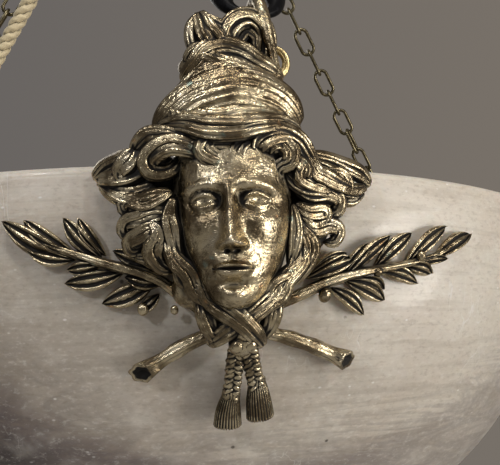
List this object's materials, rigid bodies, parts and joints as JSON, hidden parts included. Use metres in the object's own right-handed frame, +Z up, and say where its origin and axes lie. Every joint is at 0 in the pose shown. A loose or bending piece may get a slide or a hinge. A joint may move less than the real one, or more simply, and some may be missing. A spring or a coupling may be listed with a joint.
{
  "type": "alabaster bowl pendant",
  "caption": "Veined alabaster bowl hung on chains from a turned hub, with cast gilt masks, crossed laurel branches and tassels as its mounts, lamps inside and a silk cord.",
  "frame": {"origin": "centre between the two crossbar screws, on the ceiling's face", "axes": "+Z up into the ceiling, -Y out through the near mask, +X to the right of someone who faces that mask"},
  "size_m": [0.4008, 0.4245, 0.77],
  "materials": {
    "alabaster": "polished veined alabaster, cream above and purple-grey below",
    "gilt_bronze": "cast gilt bronze, rubbed pale on the high points, near black in the recesses",
    "reeded_gilt": "bright reeded gilt wire",
    "aged_brass": "dark olive aged brass",
    "black_iron": "blackened iron",
    "silk_cord": "twisted cream-gold silk",
    "plated_steel": "zinc-plated steel",
    "leather_washer": "brown leather",
    "lamp_brass": "satin brass",
    "white_ceramic": "white glazed",
    "lamp_glass": "frosted glass, unlit"
  },
  "bodies": {
    "ceiling": {"ceiling_crossbar": "plated_steel", "hollow_nipple": "plated_steel", "nipple_nuts": "plated_steel", "stirrup_loop": "aged_brass", "cord_top": "silk_cord"},
    "canopy": {"canopy": "aged_brass"},
    "collar": {"canopy_collar": "aged_brass"},
    "swing_link": {"top_link": "aged_brass"},
    "pendant": {"upper_chain": "aged_brass", "hub_body": "aged_brass", "hub_top_eye": "aged_brass", "hub_chain_eyes": "aged_brass", "shackle_pins": "black_iron", "alabaster_bowl": "alabaster", "mask_studs": "plated_steel", "stud_washers": "leather_washer", "stud_nuts": "plated_steel", "carrier_arms": "plated_steel", "junction_box": "lamp_brass", "junction_lid": "lamp_brass", "terminal_block": "white_ceramic", "lampholder_1": "lamp_brass", "lampholder_2": "lamp_brass", "lampholder_3": "lamp_brass", "cord_run": "silk_cord", "suspension_chain_front": "aged_brass", "shackle_front": "black_iron", "hook_front": "gilt_bronze", "keeper_ring_front": "reeded_gilt", "mask_front": "gilt_bronze", "laurel_right_front": "gilt_bronze", "laurel_left_front": "gilt_bronze", "tassels_front": "gilt_bronze", "suspension_chain_rear_right": "aged_brass", "shackle_rear_right": "black_iron", "hook_rear_right": "gilt_bronze", "keeper_ring_rear_right": "reeded_gilt", "mask_rear_right": "gilt_bronze", "laurel_right_rear_right": "gilt_bronze", "laurel_left_rear_right": "gilt_bronze", "tassels_rear_right": "gilt_bronze", "suspension_chain_rear_left": "aged_brass", "shackle_rear_left": "black_iron", "hook_rear_left": "gilt_bronze", "keeper_ring_rear_left": "reeded_gilt", "mask_rear_left": "gilt_bronze", "laurel_right_rear_left": "gilt_bronze", "laurel_left_rear_left": "gilt_bronze", "tassels_rear_left": "gilt_bronze"},
    "lamp_1": {"bulb_1": "lamp_glass"},
    "lamp_2": {"bulb_2": "lamp_glass"},
    "lamp_3": {"bulb_3": "lamp_glass"}
  },
  "joints": [
    {"name": "canopy_slide", "type": "slide", "parent": "ceiling", "child": "canopy", "axis": [0, 0, 1], "range_m": [-0.05, 0]},
    {"name": "collar_turn", "type": "hinge", "parent": "canopy", "child": "collar", "pos_m": [0, 0, -0.048], "axis": [0, 0, 1], "continuous": true},
    {"name": "pendant_sway", "type": "hinge", "parent": "ceiling", "child": "swing_link", "pos_m": [0, 0, -0.107], "axis": [0, 1, 0], "range_deg": [-8, 8], "deforming": ["cord_top"]},
    {"name": "pendant_swing", "type": "hinge", "parent": "swing_link", "child": "pendant", "pos_m": [0, 0, -0.13123], "axis": [1, 0, 0], "range_deg": [-8, 8]},
    {"name": "bulb_turn_1", "type": "hinge", "parent": "pendant", "child": "lamp_1", "pos_m": [0, 0.06, -0.683], "axis": [0, 1, 0], "continuous": true},
    {"name": "bulb_turn_2", "type": "hinge", "parent": "pendant", "child": "lamp_2", "pos_m": [-0.05196, -0.03, -0.683], "axis": [-0.866, -0.5, 0], "continuous": true},
    {"name": "bulb_turn_3", "type": "hinge", "parent": "pendant", "child": "lamp_3", "pos_m": [0.05196, -0.03, -0.683], "axis": [0.866, -0.5, 0], "continuous": true}
  ]
}
